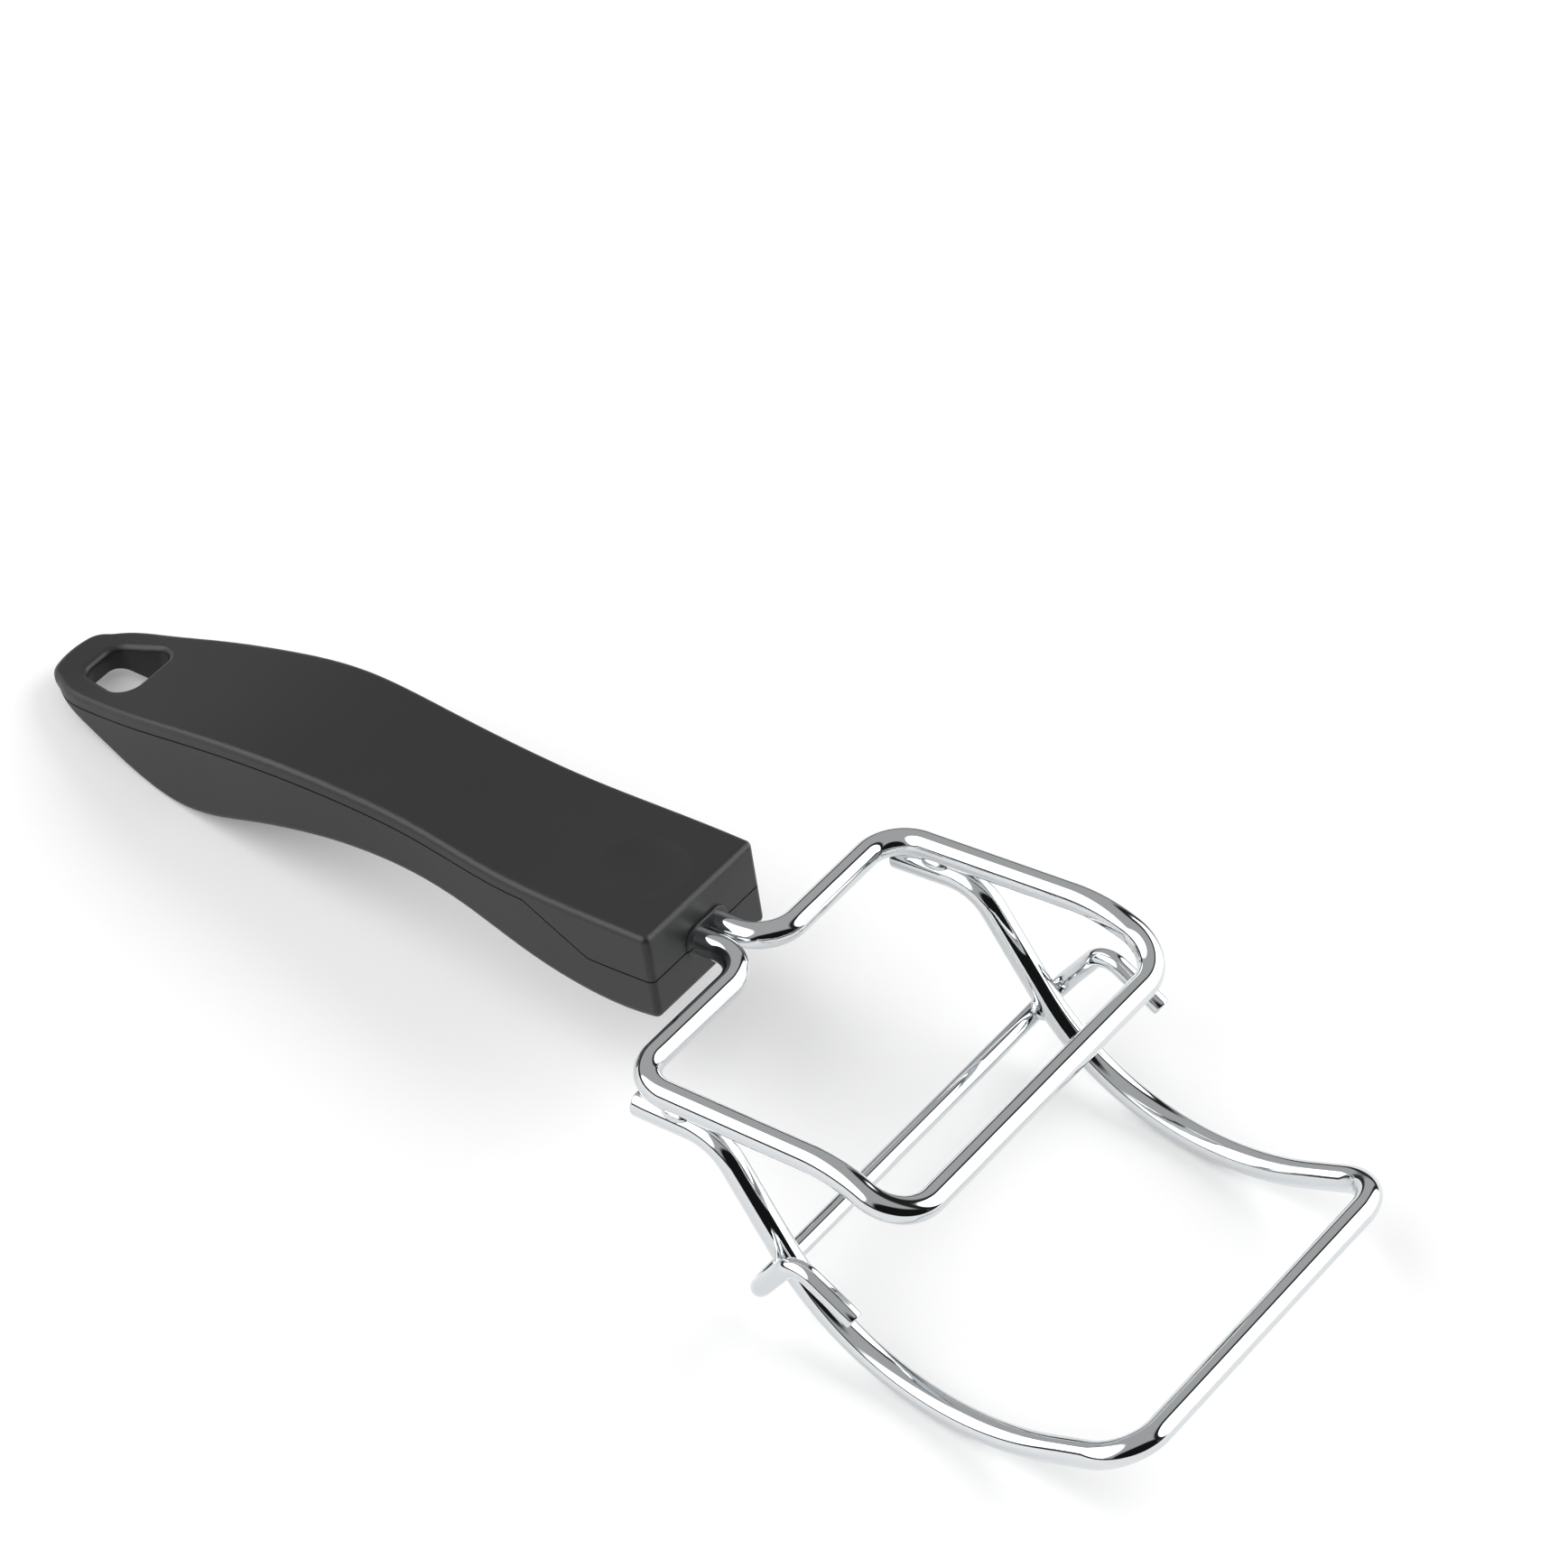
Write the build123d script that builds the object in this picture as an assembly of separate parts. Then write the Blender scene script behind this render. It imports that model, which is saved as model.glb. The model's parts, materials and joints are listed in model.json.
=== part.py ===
from build123d import *
import math
import os

# ---------------------------------------------------------------------------
# Jar lifter: a two-shell plastic handle holding a bent wire frame, with a wire
# bail and a thinner cross bar resistance-welded under the frame.
# Millimetres and degrees. The tool is drawn with its frame level: the handle
# reaches back along -X from its front face at X = 0 and the jaws reach forward
# along +X. At the end the whole tool is tilted and dropped to lie on a table.
# ---------------------------------------------------------------------------

# Wire stock
WIRE = 5.0                      # diameter of the frame and bail wire
BAR_WIRE = 3.6                  # diameter of the cross bar wire
WELD_SETDOWN = 0.4              # how far two welded wires are pressed together

# Frame: one wire, both ends held in the handle
NECK_GAP = 0.3                  # gap between the two necks where they leave the handle
NECK_LENGTH = 12.7              # handle face to the centre of the rear crosspiece
FRAME_HALF_WIDTH = 39.1         # centre line, at the rear corners
FRAME_SPLAY = 1.9               # angle by which each side runs outward
FRAME_FLAT = 43.7               # straight run of a side, corner to corner
FRAME_DROP = 15.3               # sloping run from that bend to the front bar
FRAME_DROP_ANGLE = 24.9
NECK_RADIUS = 7.6
REAR_RADIUS = 7.7
DROP_SHARE = 0.83               # of the sloping run left by the front corner, taken by its other bend
FRONT_RADIUS = 8.4
ANCHOR_DEPTH = 33.0             # how far the wire ends reach into the handle
ANCHOR_HOOK = 8.0               # outward hook on each end
HOOK_RADIUS = 4.0

# Bail: the loop that goes round the jar's neck
BAIL_START = 13.7               # first end, from the handle face
BAIL_LAP = 17.3                 # straight lap under the frame, to the bend's corner
BAIL_DESCENT = 58.0             # slope of the run down from the frame
BAIL_RISE = 17.6                # slope of the last run up to the front bar
BAIL_REACH = 82.9               # bend's corner to the front bar
BAIL_DROP = 34.2                # bend's corner down to the front bar
BAIL_HALF_WIDTH = 41.0          # centre line, at the front bar
BAIL_BEND_RADIUS = 10.0
BAIL_SWEEP_SHARE = 0.81         # of the last run left by the front corner, taken by the big sweep
BAIL_CORNER_RADIUS = 8.7

# Cross bar: a staple under the bail with a prong outside each side
BAR_STATION = 14.0              # bend's corner to the crossing, measured along X
BAR_OVERHANG = 7.8              # bail's centre line to the prong's centre line
PRONG_LEG = 15.2
PRONG_LEG_ANGLE = 50.6
PRONG_LENGTH = 14.4
PRONG_SLOPE = 33.6
BAR_RADIUS = 4.5

# Welds
WELD_BEAD_RADIUS = 1.25
WELD_BEAD_LENGTH = 5.0
WELD_INSET = 6.6                # bail's cut end to the bead, past the frame's rear corner
WELD_PROUD = 0.1                # how far a bead stands past the wires' sides
BAR_WELD_RADIUS = 2.9

# Handle outside: stations are shares of its length, from X = 0 back, and sizes are millimetres.
# The front face leans: its lower edge stands in front of its upper edge.
HANDLE_LENGTH = 142.5
TOP_LINE = [(0.00, 9.0), (0.13, 9.3), (0.24, 10.0), (0.36, 12.4), (0.48, 14.4),
            (0.59, 15.2), (0.70, 13.8), (0.82, 10.9), (0.92, 8.5), (1.00, 7.7)]
BOTTOM_LINE = [(-0.01, -8.4), (0.10, -8.4), (0.19, -5.6), (0.29, -1.2), (0.41, 1.4), (0.53, 1.1),
               (0.63, -1.7), (0.70, -4.5), (0.75, -5.2), (0.80, -4.0), (0.90, 1.1), (1.00, 5.2)]
WIDTH_LINE = [(-0.01, 16.1), (0.12, 16.2), (0.23, 15.7), (0.37, 14.6), (0.48, 14.9),
              (0.60, 15.5), (0.72, 14.7), (0.82, 13.4), (0.90, 11.7), (0.96, 9.2), (0.99, 7.2)]
TAIL_BULGE = 1.4                # how far the round tail stands behind the last width station
TAIL_CORNER_RADIUS = 4.5
EDGE_RADIUS = 1.3
CORNER_RADIUS = 1.3             # upright corners of the front face

# Parting line between the shells
CAP_LIP = 0.4                   # how far the top shell's rim reaches below its skin, behind the step
SEAM_FRONT_HEIGHT = -0.3
SEAM_STEP_START = 13.2
SEAM_STEP_END = 27.0
SEAM_STEP_RADIUS = 4.0
SEAM_TAIL_DROP = 0.5            # how far the seam ends below the tail's underside
SEAM_GROOVE = 0.3               # width and depth of the groove along the parting line

# Handle inside
WALL = 2.2
CAP_DEPTH = WALL + CAP_LIP
FRONT_WALL = 3.0
RIB = 2.0
GRIP_RIBS = (64.0, 84.0)
SLOT_EASE = 0.3                 # clearance beside the wire where it drops into its slots
HOLD_DOWN_STATION = 16.0        # rib of the top shell that presses on the necks

# Thumb rest and wire boss on the front end
THUMB_STATION = 11.5
THUMB_RADIUS = 8.5
THUMB_DEPTH = 1.0
BOSS_HEIGHT = 1.1               # in front of X = 0
BOSS_EDGE_RADIUS = 0.4
BOSS_WALL = 0.9

# Hanging hole
HOLE_STATION = 129.0
HOLE_HALF_LENGTH = 6.5
HOLE_HALF_WIDTH = 8.3           # at its front
HOLE_TAIL_HALF_WIDTH = 4.6
HOLE_CORNER_RADIUS = 3.6
HOLE_NARROWING = 0.2            # each side, from the top down to the underside
HOLE_OVERRUN = 5.0
HOLE_RIM_RADIUS = 1.2
HOLE_RIM_FLOOR = 6.0

# Screws that close the handle from below
SCREW_STATIONS = (45.0, 102.0)
SCREW_SHANK = 2.9
SCREW_HEAD = 5.6
SCREW_HEAD_HEIGHT = 2.0
SCREW_RECESS = 2.5              # head's underside above the handle's bottom
SCREW_BITE = 5.0                # length held in the top shell's post
SCREW_DRIVE = 1.0               # width of the cross recess arms
SCREW_DRIVE_SPAN = 3.4
SCREW_HEAD_RADIUS = 0.7
SCREW_POINT = 0.8
SCREW_CLEARANCE = 0.15
POST = 7.0                      # outside diameter of both posts
HEAD_POST = 9.0

BIG = 400.0                     # larger than the tool, for cutting bodies
NEAR = 1.0                      # distance within which an edge counts as being at a place
STEEP = 0.85                    # upward part of a unit tangent, above which an edge is upright
HALVINGS = 40                   # steps of a search that halves its range
STEEPEST_REST = 45.0            # largest resting pitch that is searched


def bent_wire(points, radii, diameter):
    """Round wire along straight runs joined by tangent arcs."""
    path = FilletPolyline(*points, radius=radii)
    section = Plane(origin=path @ 0, z_dir=path % 0) * Circle(diameter / 2)
    return sweep(section, path=path), path


def sharing_radius(run, taken, turn, share):
    """Radius of a bend whose tangent is a share of what a run has left beside its other bend."""
    return share * (run - taken) / math.tan(math.radians(turn) / 2)


def both_sides(half):
    """A run of points from the middle of the front bar, with its mirror image before it."""
    mirrored = [(x, -y, z) for x, y, z in reversed(half)]
    return mirrored + half


def frame_side(x):
    """Half-width of the frame at a distance in front of the handle's face."""
    return FRAME_HALF_WIDTH + (x - NECK_LENGTH) * math.tan(math.radians(FRAME_SPLAY))


# ---------------------------------------------------------------- wires
NECK_HALF = (WIRE + NECK_GAP) / 2
FRAME_BEND_X = NECK_LENGTH + FRAME_FLAT
FRAME_FRONT_X = FRAME_BEND_X + FRAME_DROP * math.cos(math.radians(FRAME_DROP_ANGLE))
FRAME_FRONT_Z = -FRAME_DROP * math.sin(math.radians(FRAME_DROP_ANGLE))

BAIL_Z = -(WIRE - WELD_SETDOWN)
BAIL_BEND_X = BAIL_START + BAIL_LAP
BAIL_FRONT_X = BAIL_BEND_X + BAIL_REACH
BAIL_FRONT_Z = BAIL_Z - BAIL_DROP


def frame_wire():
    half = [(FRAME_FRONT_X, frame_side(FRAME_FRONT_X), FRAME_FRONT_Z),
            (FRAME_BEND_X, frame_side(FRAME_BEND_X), 0),
            (NECK_LENGTH, FRAME_HALF_WIDTH, 0),
            (NECK_LENGTH, NECK_HALF, 0),
            (-ANCHOR_DEPTH, NECK_HALF, 0),
            (-ANCHOR_DEPTH, NECK_HALF + ANCHOR_HOOK, 0)]
    drop_radius = sharing_radius(FRAME_DROP, FRONT_RADIUS, FRAME_DROP_ANGLE, DROP_SHARE)
    bends = [FRONT_RADIUS, drop_radius, REAR_RADIUS, NECK_RADIUS, HOOK_RADIUS]
    return bent_wire(both_sides(half), list(reversed(bends)) + bends, WIRE)


def bail_corner():
    """Corner of the big sweep, where the run down and the run up would meet."""
    down = math.tan(math.radians(BAIL_DESCENT))
    up = math.tan(math.radians(BAIL_RISE))
    ahead = (BAIL_DROP + BAIL_REACH * up) / (down + up)
    return BAIL_BEND_X + ahead, BAIL_Z - ahead * down


def bail_side(x):
    """Half-width of the bail: under the frame on the lap, then straight to its front corners."""
    if x <= BAIL_BEND_X:
        return frame_side(x)
    share = (x - BAIL_BEND_X) / BAIL_REACH
    return frame_side(BAIL_BEND_X) * (1 - share) + BAIL_HALF_WIDTH * share


def bail_wire():
    corner_x, corner_z = bail_corner()
    last_run = (BAIL_FRONT_X - corner_x) / math.cos(math.radians(BAIL_RISE))
    sweep_radius = sharing_radius(last_run, BAIL_CORNER_RADIUS, BAIL_DESCENT + BAIL_RISE, BAIL_SWEEP_SHARE)
    half = [(BAIL_FRONT_X, BAIL_HALF_WIDTH, BAIL_FRONT_Z),
            (corner_x, bail_side(corner_x), corner_z),
            (BAIL_BEND_X, bail_side(BAIL_BEND_X), BAIL_Z),
            (BAIL_START, bail_side(BAIL_START), BAIL_Z)]
    bends = [BAIL_CORNER_RADIUS, sweep_radius, BAIL_BEND_RADIUS]
    return bent_wire(both_sides(half), list(reversed(bends)) + bends, WIRE)


def bail_crossing(path):
    """Point of the bail's centre line over the cross bar, and the direction square to it."""
    station = BAIL_BEND_X + BAR_STATION
    low, high = 0.5, 1.0
    for _ in range(HALVINGS):
        middle = (low + high) / 2
        if (path @ middle).X > station:
            low = middle
        else:
            high = middle
    point = path @ low
    along = path % low
    return point, Vector(along.Z, 0, -along.X).normalized()


def cross_bar(path):
    point, square = bail_crossing(path)
    if square.Z < 0:
        square = square * -1
    centre = point - square * ((WIRE + BAR_WIRE) / 2 - WELD_SETDOWN)
    out = point.Y + BAR_OVERHANG
    leg = math.radians(PRONG_LEG_ANGLE)
    slope = math.radians(PRONG_SLOPE)
    top_x = centre.X + PRONG_LEG * math.cos(leg)
    top_z = centre.Z + PRONG_LEG * math.sin(leg)
    half = [(centre.X, out, centre.Z),
            (top_x, out, top_z),
            (top_x + PRONG_LENGTH * math.cos(slope), out, top_z - PRONG_LENGTH * math.sin(slope))]
    contact = point - square * ((WIRE - WELD_SETDOWN) / 2)
    return bent_wire(both_sides(half), BAR_RADIUS, BAR_WIRE)[0], contact


# ---------------------------------------------------------------- handle body
def height_at(line, station):
    """Size of an outline at a distance behind the front face, between its stations."""
    share = station / HANDLE_LENGTH
    for (near, low), (far, high) in zip(line, line[1:]):
        if near <= share <= far:
            return low + (high - low) * (share - near) / (far - near)
    return line[-1][1]


def outline_points(line, shift, reach):
    """Outline stations as points behind the front face, up to a distance, each size moved by shift."""
    points = [(-share * HANDLE_LENGTH, size + shift) for share, size in line if share * HANDLE_LENGTH < reach]
    return points + [(-reach, height_at(line, reach) + shift)]


def side_view(inset, reach):
    """The handle seen from the side, drawn in XZ and pulled in by inset."""
    top = outline_points(TOP_LINE, -inset, reach)
    bottom = outline_points(BOTTOM_LINE, inset, reach)
    rear = Line(top[-1], bottom[-1])
    front = Line(bottom[0], top[0])
    return Plane.XZ * make_face([Spline(*top), rear, Spline(*bottom), front])


def plan_view(inset, reach, bulge):
    """The handle seen from above, drawn in XY and pulled in by inset, with a rear end that bulges."""
    left = outline_points(WIDTH_LINE, -inset, reach)
    right = [(x, -y) for x, y in left]
    rear = ThreePointArc(left[-1], (-reach - bulge, 0), right[-1])
    outline = make_face([Spline(*left), rear, Spline(*right), Line(right[0], left[0])])
    return fillet(outline.vertices().sort_by(Axis.X)[:2], TAIL_CORNER_RADIUS - inset)


def across(face):
    """Body of a side-view face carried right across the tool."""
    return extrude(Pos(0, BIG / 2, 0) * face, BIG)


def handle_body(inset, reach):
    from_above = extrude(Pos(0, 0, -BIG / 2) * plan_view(inset, reach - TAIL_BULGE, TAIL_BULGE), BIG)
    return across(side_view(inset, reach)) & from_above


def is_upright_at_face(edge):
    return abs(edge.center().X) < NEAR and abs(edge.tangent_at(0.5).Z) > STEEP


def is_outline_edge(edge):
    return abs(edge.tangent_at(0.5).Z) < STEEP


def wire_boss():
    """Low rounded collar on the front face where the two necks come out."""
    outline = SlotCenterToCenter(2 * NECK_HALF, WIRE + 2 * BOSS_WALL)
    boss = extrude(Plane.YZ * outline, BOSS_HEIGHT + FRONT_WALL / 2)
    boss = Pos(-FRONT_WALL / 2, 0, 0) * boss
    return fillet(boss.faces().sort_by(Axis.X)[-1].edges(), BOSS_EDGE_RADIUS)


def thumb_rest():
    """Sphere that cuts a round dish of the given radius and depth into the top."""
    sphere = (THUMB_RADIUS ** 2 + THUMB_DEPTH ** 2) / (2 * THUMB_DEPTH)
    top = height_at(TOP_LINE, THUMB_STATION)
    return Pos(-THUMB_STATION, 0, top - THUMB_DEPTH + sphere) * Sphere(sphere)


def hole_outline(grow):
    """Rounded four-sided outline of the hanging hole, wide at its front and narrow at the tail."""
    length = HOLE_HALF_LENGTH + grow
    front = HOLE_HALF_WIDTH + grow
    tail = HOLE_TAIL_HALF_WIDTH + grow
    corners = [(length, front), (-length, tail), (-length, -tail), (length, -front)]
    return make_face(FilletPolyline(*corners, radius=HOLE_CORNER_RADIUS, close=True))


def hanging_hole():
    """Hole through the tail that narrows downward."""
    top = height_at(TOP_LINE, HOLE_STATION)
    bottom = height_at(BOTTOM_LINE, HOLE_STATION)
    grow = HOLE_NARROWING / (top - bottom) * HOLE_OVERRUN
    return loft([Pos(-HOLE_STATION, 0, bottom - HOLE_OVERRUN) * hole_outline(-HOLE_NARROWING - grow),
                 Pos(-HOLE_STATION, 0, top + HOLE_OVERRUN) * hole_outline(grow)])


def is_hole_rim(edge):
    """Rim where the hanging hole meets the top."""
    box = edge.bounding_box()
    along = abs(box.center().X + HOLE_STATION)
    aside = abs(box.center().Y)
    beside = along < HOLE_HALF_LENGTH + NEAR and aside < HOLE_HALF_WIDTH + NEAR
    return beside and box.min.Z > HOLE_RIM_FLOOR


def outer_shape():
    """Rounded outside of the handle, with the wire boss, thumb rest and hanging hole."""
    body = handle_body(0, HANDLE_LENGTH)
    body = fillet(body.edges().filter_by(is_upright_at_face), CORNER_RADIUS)
    body = fillet(body.edges().filter_by(is_outline_edge), EDGE_RADIUS)
    body = body + wire_boss() - thumb_rest() - hanging_hole()
    return fillet(body.edges().filter_by(is_hole_rim), HOLE_RIM_RADIUS)


# ---------------------------------------------------------------- handle inside
def slab(front, back):
    """Everything between two stations behind the front face."""
    return Pos(-(front + back) / 2, 0, 0) * Box(back - front, BIG, BIG)


def cavity():
    reach = HOLE_STATION - HOLE_HALF_LENGTH - HOLE_RIM_RADIUS - WALL
    return handle_body(WALL, reach) & slab(FRONT_WALL, reach)


def rib_stations():
    """Ribs close round the wire's hooks, and plain ribs along the grip."""
    hook = WIRE / 2 + RIB / 2 + SLOT_EASE
    return [ANCHOR_DEPTH - hook, ANCHOR_DEPTH + hook, *GRIP_RIBS]


def ribs(inside):
    return [slab(station - RIB / 2, station + RIB / 2) & inside for station in rib_stations()]


def upright(station, diameter, low, high):
    """Round upright post or hole on the tool's middle plane."""
    return Pos(-station, 0, (low + high) / 2) * Cylinder(diameter / 2, high - low)


def screw_heights(station):
    """Heights of the head's seat, of the plane where the posts meet, and of the screw's tip."""
    seat = height_at(BOTTOM_LINE, station) + SCREW_RECESS
    meeting = height_at(TOP_LINE, station) - CAP_DEPTH - SCREW_BITE
    return seat, meeting, meeting + SCREW_BITE


def above_seam():
    """Everything above the parting line between the shells."""
    rear = [(-share * HANDLE_LENGTH, size - CAP_DEPTH) for share, size in TOP_LINE
            if share * HANDLE_LENGTH > SEAM_STEP_END and share < 1]
    tail = (-HANDLE_LENGTH - EDGE_RADIUS, BOTTOM_LINE[-1][1] - SEAM_TAIL_DROP)
    step_top = (-SEAM_STEP_END, height_at(TOP_LINE, SEAM_STEP_END) - CAP_DEPTH)
    front = FilletPolyline((BIG / 4, SEAM_FRONT_HEIGHT), (-SEAM_STEP_START, SEAM_FRONT_HEIGHT), step_top,
                           radius=SEAM_STEP_RADIUS)
    along = Spline(step_top, *rear, tail)
    frame = Polyline(tail, (tail[0], BIG / 4), (BIG / 4, BIG / 4), (BIG / 4, SEAM_FRONT_HEIGHT))
    return across(Plane.XZ * make_face([*front.edges(), along, *frame.edges()]))


def seam_groove():
    """Shallow band just under the parting line, round the outside of the handle."""
    core = Pos(-SEAM_GROOVE, 0, 0) * handle_body(SEAM_GROOVE, HANDLE_LENGTH - 2 * SEAM_GROOVE)
    core = fillet(core.edges().filter_by(is_upright_at_face), CORNER_RADIUS - SEAM_GROOVE)
    return Pos(0, 0, -SEAM_GROOVE) * above_seam() - core


def shells():
    """Top and bottom shell of the handle, with their ribs, posts, channels and holes."""
    inside = cavity()
    body = outer_shape() - inside
    for rib in ribs(inside):
        body = body + rib
    upper = above_seam()
    wire, _ = frame_wire()
    top = body & upper
    bottom = body - upper - seam_groove()

    slot_width = 2 * NECK_HALF + WIRE + 2 * SLOT_EASE
    slot = Pos(-(FRONT_WALL + ANCHOR_DEPTH) / 2, 0, BIG / 4) * Box(ANCHOR_DEPTH - FRONT_WALL, slot_width, BIG / 2)
    bottom = bottom - slot
    hold_down = slab(HOLD_DOWN_STATION - RIB / 2, HOLD_DOWN_STATION + RIB / 2) & inside
    hold_down = hold_down & (Pos(0, 0, BIG / 4) * Box(BIG, 2 * NECK_HALF + WIRE / 2, BIG / 2))
    top = top + hold_down

    within_skin = handle_body(WALL / 2, HANDLE_LENGTH - WALL / 2)
    for station in SCREW_STATIONS:
        seat, meeting, tip = screw_heights(station)
        top = top + (upright(station, POST, meeting, BIG / 4) & within_skin)
        top = top - upright(station, SCREW_SHANK, meeting, tip + SCREW_CLEARANCE)
        bottom = bottom + (upright(station, HEAD_POST, -BIG / 4, meeting) & within_skin)
        bottom = bottom - upright(station, SCREW_HEAD + 2 * SCREW_CLEARANCE, -BIG / 4, seat)
        bottom = bottom - upright(station, SCREW_SHANK + 2 * SCREW_CLEARANCE, seat, meeting)
    return top - wire, bottom - wire


def handle_screws():
    """Two identical pan-head screws, driven up from the underside."""
    screws = []
    for station in SCREW_STATIONS:
        seat, _, tip = screw_heights(station)
        shank = upright(station, SCREW_SHANK, seat, tip)
        shank = chamfer(shank.faces().sort_by(Axis.Z)[-1].edges(), SCREW_POINT)
        head = upright(station, SCREW_HEAD, seat - SCREW_HEAD_HEIGHT, seat)
        head = fillet(head.faces().sort_by(Axis.Z)[0].edges(), SCREW_HEAD_RADIUS)
        for turn in (0, 90):
            arm = Box(SCREW_DRIVE_SPAN, SCREW_DRIVE, SCREW_HEAD_HEIGHT)
            head = head - Pos(-station, 0, seat - SCREW_HEAD_HEIGHT) * Rot(0, 0, turn) * arm
        screws.append(shank + head)
    return Compound(screws)


# ---------------------------------------------------------------- welds
def bead_section(face):
    """End-on outline of a bead: a round filling one notch between two wires, one above the other."""
    outward = WIRE / 2 + WELD_PROUD - WELD_BEAD_RADIUS
    bead = Pos(face * outward, 0) * Circle(WELD_BEAD_RADIUS)
    for side in (-1, 1):
        bead = bead - Pos(0, side * BAIL_Z / 2) * Circle(WIRE / 2)
    return bead


def bail_weld_beads():
    """Short beads in the notches on both sides of each lap of bail and frame."""
    start = BAIL_START + WELD_INSET
    beads = []
    for face in (-1, 1):
        along = (1, math.tan(math.radians(FRAME_SPLAY)), 0)
        place = Plane(origin=(start, frame_side(start), BAIL_Z / 2), x_dir=(0, 1, 0), z_dir=along)
        bead = extrude(place * bead_section(face), WELD_BEAD_LENGTH)
        beads += [bead, mirror(bead, Plane.XZ)]
    return Compound([bead.solid() for bead in beads])


def bar_weld_beads(bail, bar, contact):
    """Squeezed-out ring round each crossing of bail and bar."""
    beads = []
    for side in (-1, 1):
        centre = Vector(contact.X, side * contact.Y, contact.Z)
        ring = Sphere(BAR_WELD_RADIUS)
        beads.append(Pos(centre) * ring - bail - bar)
    return Compound([bead.solid() for bead in beads])


# ---------------------------------------------------------------- resting pose
def resting_pitch(bail_path):
    """Nose-up angle at which the handle's belly and the bail's sweep touch one level surface."""
    tail = side_view(0, HANDLE_LENGTH)
    low, high = 0.0, STEEPEST_REST
    for _ in range(HALVINGS):
        middle = (low + high) / 2
        tail_low = tail.rotate(Axis.Y, -middle).bounding_box().min.Z
        bail_low = bail_path.rotate(Axis.Y, -middle).bounding_box().min.Z - WIRE / 2
        if bail_low < tail_low:
            low = middle
        else:
            high = middle
    return low


def build():
    frame, _ = frame_wire()
    bail, bail_path = bail_wire()
    bar, contact = cross_bar(bail_path)
    top_shell, bottom_shell = shells()
    bar = bar - bail
    bail = bail - frame
    parts = {"handle_top_shell": top_shell,
             "handle_bottom_shell": bottom_shell,
             "handle_screws": handle_screws(),
             "frame_wire": frame,
             "bail_wire": bail,
             "cross_bar": bar,
             "bail_weld_beads": bail_weld_beads(),
             "bar_weld_beads": bar_weld_beads(bail, bar, contact)}

    pitch = resting_pitch(bail_path)
    tilted = {name: shape.rotate(Axis.Y, -pitch) for name, shape in parts.items()}
    box = Compound(list(tilted.values())).bounding_box()
    settle = Pos(-box.center().X, 0, -box.min.Z)
    print(f"resting pitch {pitch:.3f} degrees, moved by x {-box.center().X:.3f} z {-box.min.Z:.3f}")
    return {name: settle * shape for name, shape in tilted.items()}


os.makedirs("parts", exist_ok=True)
for name, shape in build().items():
    solids = shape.solids()
    print(name, len(solids), "solids", f"{sum(solid.volume for solid in solids):.1f} mm3")
    export_step(shape, f"parts/{name}.step")
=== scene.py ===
"""Looks of a jar lifter: a black moulded handle and chromed wire jaws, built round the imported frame."""
import json
import math

import bpy
import numpy as np
from mathutils import Matrix, Vector


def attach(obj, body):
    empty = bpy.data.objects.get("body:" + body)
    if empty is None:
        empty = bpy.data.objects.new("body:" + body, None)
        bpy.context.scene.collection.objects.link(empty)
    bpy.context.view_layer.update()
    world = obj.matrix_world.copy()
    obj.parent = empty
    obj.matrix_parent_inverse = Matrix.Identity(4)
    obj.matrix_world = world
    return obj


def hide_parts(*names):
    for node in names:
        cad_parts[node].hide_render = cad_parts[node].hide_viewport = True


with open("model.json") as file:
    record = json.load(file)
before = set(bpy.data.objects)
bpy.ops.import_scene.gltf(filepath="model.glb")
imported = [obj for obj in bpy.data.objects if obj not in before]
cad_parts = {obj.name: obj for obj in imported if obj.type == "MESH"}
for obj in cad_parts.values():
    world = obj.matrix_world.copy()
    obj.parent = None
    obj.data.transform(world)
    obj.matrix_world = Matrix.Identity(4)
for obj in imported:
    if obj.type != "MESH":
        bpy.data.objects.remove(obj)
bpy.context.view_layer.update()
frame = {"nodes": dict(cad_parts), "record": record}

bl_info = {
    "name": "Jar lifter",
    "version": (1, 0, 0),
    "blender": (4, 5, 0),
    "location": "3D View > Sidebar > Jar lifter",
    "description": "Builds the wires, welds, handle finish and studio of a jar lifter",
    "category": "Object",
}

MM = 0.001
SENSOR = 36.0
CLIP_NEAR, CLIP_FAR = 0.05, 20.0
TABLE_REACH = 0.5           # half the width of the table top
TURN_STEP = math.radians(3)     # of a bend, between two rings of a wire
RUN_STEP = 2.5 * MM         # of a straight run, between two rings
CLEAR_OF_CUT = 1.2          # roundings of a cut end within which a wire's own rings are left out

# The tool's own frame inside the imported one: level wire frame, handle face at X = 0
MOUNTS = {mount["name"]: mount for mount in frame["record"]["mounts"]}
HOLE = MOUNTS["hanging_hole"]
HOLE_IN_TOOL = (-129.0, 0.0, 5.3)       # the hanging hole's mount there, in millimetres
PITCH = math.atan2(-HOLE["axis"][0], HOLE["axis"][2])


# ---------------------------------------------------------------- sizes a user may change
def length(name, description, millimetres):
    """Property for a length, given in millimetres and kept in metres."""
    return bpy.props.FloatProperty(name=name, description=description, default=millimetres * MM,
                                   unit="LENGTH")


def angle(name, description, degrees):
    """Property for an angle, given in degrees and kept in radians."""
    return bpy.props.FloatProperty(name=name, description=description, default=math.radians(degrees),
                                   subtype="ANGLE")


def share(name, description, value):
    """Property for a value from nought to one."""
    return bpy.props.FloatProperty(name=name, description=description, default=value, subtype="FACTOR",
                                   min=0.0, max=1.0)


def colour(name, description, code):
    """Property for an sRGB colour as six hex digits."""
    return bpy.props.StringProperty(name=name, description=description, default=code)


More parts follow.
